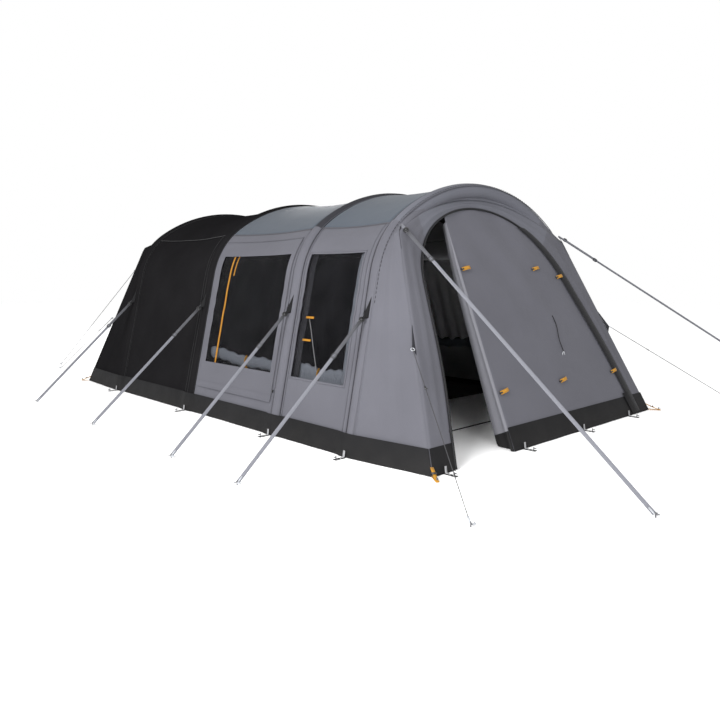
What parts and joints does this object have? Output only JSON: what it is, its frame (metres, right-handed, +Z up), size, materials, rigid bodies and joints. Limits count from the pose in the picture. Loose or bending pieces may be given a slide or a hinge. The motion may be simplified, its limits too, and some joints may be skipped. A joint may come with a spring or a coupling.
{
  "type": "inflatable tunnel tent",
  "caption": "Inflatable air-beam tunnel tent with a dark rear bedroom, side windows, a hinged side door, a sloping front door and webbing storm straps.",
  "frame": {"origin": "on the ground, on the centre line, midway between the front and rear edges of the mud skirt", "axes": "+Z up, +X to the right seen from the front, -Y towards the front door; the tent is longest along Y"},
  "size_m": [5.3244, 9.0065, 2.0946],
  "materials": {
    "bladder": "smooth welded film",
    "buckle_plastic": "moulded",
    "dark_cloth": "light-blocking woven polyester",
    "door_cloth": "coated woven polyester",
    "groundsheet_cloth": "heavy coated cloth",
    "guy_cord": "braided cord",
    "inner_cloth": "breathable woven cloth",
    "loop_webbing": "woven webbing",
    "peg_steel": "drawn wire",
    "roof_cloth": "coated woven polyester",
    "skirt_cloth": "coated cloth",
    "sleeve_cloth": "woven polyester",
    "tube_plastic": "flexible tube",
    "valve_plastic": "moulded",
    "wall_cloth": "coated woven polyester",
    "webbing": "woven webbing",
    "window_film": "clear tinted film",
    "zip_metal": "coated"
  },
  "bodies": {
    "tent": {"air_beam_1": "bladder", "air_beam_2": "bladder", "air_beam_3": "bladder", "air_beam_4": "bladder", "beam_sleeve_1": "sleeve_cloth", "beam_sleeve_2": "sleeve_cloth", "beam_sleeve_3": "sleeve_cloth", "beam_sleeve_4": "sleeve_cloth", "front_frame": "wall_cloth", "front_gores": "wall_cloth", "front_panel": "door_cloth", "front_storm_straps": "webbing", "ground_strap": "webbing", "groundsheet": "groundsheet_cloth", "guy_lines": "guy_cord", "guy_runners": "buckle_plastic", "hoods": "wall_cloth", "inner_tent_body": "inner_cloth", "inner_tent_front": "inner_cloth", "link_tubes": "tube_plastic", "mud_skirt_front": "skirt_cloth", "mud_skirt_left": "skirt_cloth", "mud_skirt_rear": "skirt_cloth", "mud_skirt_right": "skirt_cloth", "peg_loops": "loop_webbing", "pegs": "peg_steel", "rear_gores": "dark_cloth", "rear_panel": "dark_cloth", "roof_front": "roof_cloth", "roof_middle": "roof_cloth", "roof_rear": "dark_cloth", "storm_straps_left": "webbing", "storm_straps_right": "webbing", "valve_body": "valve_plastic", "wall_left_front": "wall_cloth", "wall_left_middle": "wall_cloth", "wall_left_rear": "dark_cloth", "wall_right_front": "wall_cloth", "wall_right_middle": "wall_cloth", "wall_right_rear": "dark_cloth", "window_left_front": "window_film", "windows_right": "window_film"},
    "front_door": {"front_door": "door_cloth", "front_door_flap": "door_cloth", "door_skirt": "skirt_cloth"},
    "side_door": {"side_door": "wall_cloth", "window_side_door": "window_film"},
    "strap_slider_left_1": {"strap_slider_left_1": "buckle_plastic"},
    "strap_slider_left_2": {"strap_slider_left_2": "buckle_plastic"},
    "strap_slider_left_3": {"strap_slider_left_3": "buckle_plastic"},
    "strap_slider_left_4": {"strap_slider_left_4": "buckle_plastic"},
    "strap_slider_right_1": {"strap_slider_right_1": "buckle_plastic"},
    "strap_slider_right_2": {"strap_slider_right_2": "buckle_plastic"},
    "strap_slider_right_3": {"strap_slider_right_3": "buckle_plastic"},
    "strap_slider_right_4": {"strap_slider_right_4": "buckle_plastic"},
    "front_strap_slider_left": {"front_strap_slider_left": "buckle_plastic"},
    "front_strap_slider_right": {"front_strap_slider_right": "buckle_plastic"},
    "side_zip_slider": {"side_zip_slider": "zip_metal"},
    "front_zip_slider": {"front_zip_slider": "zip_metal"},
    "valve_cap": {"valve_cap": "valve_plastic"}
  },
  "joints": [
    {"name": "front_door_hinge", "type": "hinge", "parent": "tent", "child": "front_door", "pos_m": [0.385, -2.835, 0], "axis": [0, 0.4104, 0.9119], "range_deg": [0, 100]},
    {"name": "side_door_hinge", "type": "hinge", "parent": "tent", "child": "side_door", "pos_m": [-1.69634, 0.169, 0], "axis": [-0.2635, -0.0674, -0.9623], "range_deg": [0, 85]},
    {"name": "strap_slider_left_1_slide", "type": "slide", "parent": "tent", "child": "strap_slider_left_1", "axis": [-0.7626, -0.0521, -0.6448], "range_m": [-0.3, 0.6]},
    {"name": "strap_slider_left_2_slide", "type": "slide", "parent": "tent", "child": "strap_slider_left_2", "axis": [-0.7601, -0.0961, -0.6426], "range_m": [-0.3, 0.6]},
    {"name": "strap_slider_left_3_slide", "type": "slide", "parent": "tent", "child": "strap_slider_left_3", "axis": [-0.7615, -0.0741, -0.6439], "range_m": [-0.3, 0.6]},
    {"name": "strap_slider_left_4_slide", "type": "slide", "parent": "tent", "child": "strap_slider_left_4", "axis": [-0.7562, -0.1395, -0.6393], "range_m": [-0.3, 0.6]},
    {"name": "strap_slider_right_1_slide", "type": "slide", "parent": "tent", "child": "strap_slider_right_1", "axis": [0.7626, -0.0521, -0.6448], "range_m": [-0.3, 0.6]},
    {"name": "strap_slider_right_2_slide", "type": "slide", "parent": "tent", "child": "strap_slider_right_2", "axis": [0.7601, -0.0961, -0.6426], "range_m": [-0.3, 0.6]},
    {"name": "strap_slider_right_3_slide", "type": "slide", "parent": "tent", "child": "strap_slider_right_3", "axis": [0.7615, -0.0741, -0.6439], "range_m": [-0.3, 0.6]},
    {"name": "strap_slider_right_4_slide", "type": "slide", "parent": "tent", "child": "strap_slider_right_4", "axis": [0.7562, -0.1395, -0.6393], "range_m": [-0.3, 0.6]},
    {"name": "front_strap_slider_left_slide", "type": "slide", "parent": "tent", "child": "front_strap_slider_left", "axis": [-0.0617, -0.7769, -0.6266], "range_m": [-0.3, 0.8]},
    {"name": "front_strap_slider_right_slide", "type": "slide", "parent": "tent", "child": "front_strap_slider_right", "axis": [0.3471, -0.7578, -0.5525], "range_m": [-0.3, 0.8]},
    {"name": "side_zip_slide", "type": "slide", "parent": "tent", "child": "side_zip_slider", "axis": [0.2635, 0.0674, 0.9623], "range_m": [0, 0.95]},
    {"name": "front_zip_slide", "type": "slide", "parent": "tent", "child": "front_zip_slider", "axis": [0.2647, 0.3957, 0.8794], "range_m": [0, 0.95]},
    {"name": "valve_cap_turn", "type": "hinge", "parent": "tent", "child": "valve_cap", "pos_m": [1.49084, -2.06056, 0.34915], "axis": [-0.9646, 0, -0.2635], "range_deg": [0, 270]}
  ]
}
